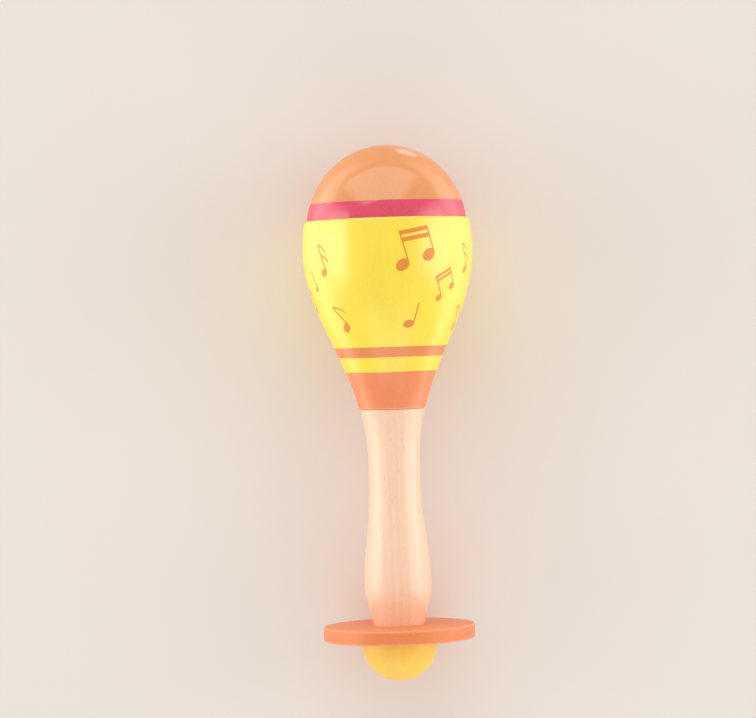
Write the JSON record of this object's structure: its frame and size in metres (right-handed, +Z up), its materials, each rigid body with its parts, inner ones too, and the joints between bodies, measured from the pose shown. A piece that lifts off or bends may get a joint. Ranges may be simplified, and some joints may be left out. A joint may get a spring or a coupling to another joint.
{
  "type": "wooden maraca",
  "caption": "Turned wooden hand rattle: hollow egg-shaped painted head with loose pellets, on a natural handle with a guard disc and an end ball.",
  "frame": {"origin": "on the floor under the middle of the maraca's box, as it lies on its belly and on the rim of the disc", "axes": "+Y along the maraca towards the crown of the head, +Z up, +X across; the lathe axis rises 1.32 degrees from the disc towards the head"},
  "size_m": [0.0584, 0.1852, 0.0585],
  "materials": {
    "orange_lacquer": "glossy orange lacquer on turned wood; the cap has a pink band at its foot",
    "yellow_lacquer": "glossy yellow lacquer on turned wood; the bowl has an orange stripe and an orange neck",
    "clear_lacquer": "pale natural wood under clear gloss lacquer",
    "bare_wood": "bare wood dowel",
    "pellet": "ivory plastic bead"
  },
  "bodies": {
    "maraca": {"head_cap": "orange_lacquer", "head_bowl": "yellow_lacquer", "handle": "clear_lacquer", "guard_disc": "orange_lacquer", "end_ball": "yellow_lacquer", "base_dowel": "bare_wood"},
    "pellet_01": {"rattle_pellet_01": "pellet"},
    "pellet_02": {"rattle_pellet_02": "pellet"},
    "pellet_03": {"rattle_pellet_03": "pellet"},
    "pellet_04": {"rattle_pellet_04": "pellet"},
    "pellet_05": {"rattle_pellet_05": "pellet"},
    "pellet_06": {"rattle_pellet_06": "pellet"},
    "pellet_07": {"rattle_pellet_07": "pellet"},
    "pellet_08": {"rattle_pellet_08": "pellet"},
    "pellet_09": {"rattle_pellet_09": "pellet"},
    "pellet_10": {"rattle_pellet_10": "pellet"},
    "pellet_11": {"rattle_pellet_11": "pellet"},
    "pellet_12": {"rattle_pellet_12": "pellet"},
    "pellet_13": {"rattle_pellet_13": "pellet"},
    "pellet_14": {"rattle_pellet_14": "pellet"},
    "pellet_15": {"rattle_pellet_15": "pellet"},
    "pellet_16": {"rattle_pellet_16": "pellet"},
    "pellet_17": {"rattle_pellet_17": "pellet"},
    "pellet_18": {"rattle_pellet_18": "pellet"},
    "pellet_19": {"rattle_pellet_19": "pellet"},
    "pellet_20": {"rattle_pellet_20": "pellet"},
    "pellet_21": {"rattle_pellet_21": "pellet"},
    "pellet_22": {"rattle_pellet_22": "pellet"},
    "pellet_23": {"rattle_pellet_23": "pellet"},
    "pellet_24": {"rattle_pellet_24": "pellet"}
  },
  "joints": [
    {"name": "pellet_01_bounce", "type": "slide", "parent": "maraca", "child": "pellet_01", "axis": [0, -0.0231, 0.9997], "range_m": [0, 0.0424]},
    {"name": "pellet_02_bounce", "type": "slide", "parent": "maraca", "child": "pellet_02", "axis": [0, -0.0231, 0.9997], "range_m": [0, 0.0413]},
    {"name": "pellet_03_bounce", "type": "slide", "parent": "maraca", "child": "pellet_03", "axis": [0, -0.0231, 0.9997], "range_m": [0, 0.0417]},
    {"name": "pellet_04_bounce", "type": "slide", "parent": "maraca", "child": "pellet_04", "axis": [0, -0.0231, 0.9997], "range_m": [0, 0.042]},
    {"name": "pellet_05_bounce", "type": "slide", "parent": "maraca", "child": "pellet_05", "axis": [0, -0.0231, 0.9997], "range_m": [0, 0.0417]},
    {"name": "pellet_06_bounce", "type": "slide", "parent": "maraca", "child": "pellet_06", "axis": [0, -0.0231, 0.9997], "range_m": [0, 0.042]},
    {"name": "pellet_07_bounce", "type": "slide", "parent": "maraca", "child": "pellet_07", "axis": [0, -0.0231, 0.9997], "range_m": [0, 0.0413]},
    {"name": "pellet_08_bounce", "type": "slide", "parent": "maraca", "child": "pellet_08", "axis": [0, -0.0231, 0.9997], "range_m": [0, 0.0394]},
    {"name": "pellet_09_bounce", "type": "slide", "parent": "maraca", "child": "pellet_09", "axis": [0, -0.0231, 0.9997], "range_m": [0, 0.0397]},
    {"name": "pellet_10_bounce", "type": "slide", "parent": "maraca", "child": "pellet_10", "axis": [0, -0.0231, 0.9997], "range_m": [0, 0.0409]},
    {"name": "pellet_11_bounce", "type": "slide", "parent": "maraca", "child": "pellet_11", "axis": [0, -0.0231, 0.9997], "range_m": [0, 0.0412]},
    {"name": "pellet_12_bounce", "type": "slide", "parent": "maraca", "child": "pellet_12", "axis": [0, -0.0231, 0.9997], "range_m": [0, 0.0394]},
    {"name": "pellet_13_bounce", "type": "slide", "parent": "maraca", "child": "pellet_13", "axis": [0, -0.0231, 0.9997], "range_m": [0, 0.0397]},
    {"name": "pellet_14_bounce", "type": "slide", "parent": "maraca", "child": "pellet_14", "axis": [0, -0.0231, 0.9997], "range_m": [0, 0.0378]},
    {"name": "pellet_15_bounce", "type": "slide", "parent": "maraca", "child": "pellet_15", "axis": [0, -0.0231, 0.9997], "range_m": [0, 0.0398]},
    {"name": "pellet_16_bounce", "type": "slide", "parent": "maraca", "child": "pellet_16", "axis": [0, -0.0231, 0.9997], "range_m": [0, 0.0401]},
    {"name": "pellet_17_bounce", "type": "slide", "parent": "maraca", "child": "pellet_17", "axis": [0, -0.0231, 0.9997], "range_m": [0, 0.0398]},
    {"name": "pellet_18_bounce", "type": "slide", "parent": "maraca", "child": "pellet_18", "axis": [0, -0.0231, 0.9997], "range_m": [0, 0.0401]},
    {"name": "pellet_19_bounce", "type": "slide", "parent": "maraca", "child": "pellet_19", "axis": [0, -0.0231, 0.9997], "range_m": [0, 0.0378]},
    {"name": "pellet_20_bounce", "type": "slide", "parent": "maraca", "child": "pellet_20", "axis": [0, -0.0231, 0.9997], "range_m": [0, 0.0344]},
    {"name": "pellet_21_bounce", "type": "slide", "parent": "maraca", "child": "pellet_21", "axis": [0, -0.0231, 0.9997], "range_m": [0, 0.0348]},
    {"name": "pellet_22_bounce", "type": "slide", "parent": "maraca", "child": "pellet_22", "axis": [0, -0.0231, 0.9997], "range_m": [0, 0.0362]},
    {"name": "pellet_23_bounce", "type": "slide", "parent": "maraca", "child": "pellet_23", "axis": [0, -0.0231, 0.9997], "range_m": [0, 0.0365]},
    {"name": "pellet_24_bounce", "type": "slide", "parent": "maraca", "child": "pellet_24", "axis": [0, -0.0231, 0.9997], "range_m": [0, 0.039]}
  ]
}
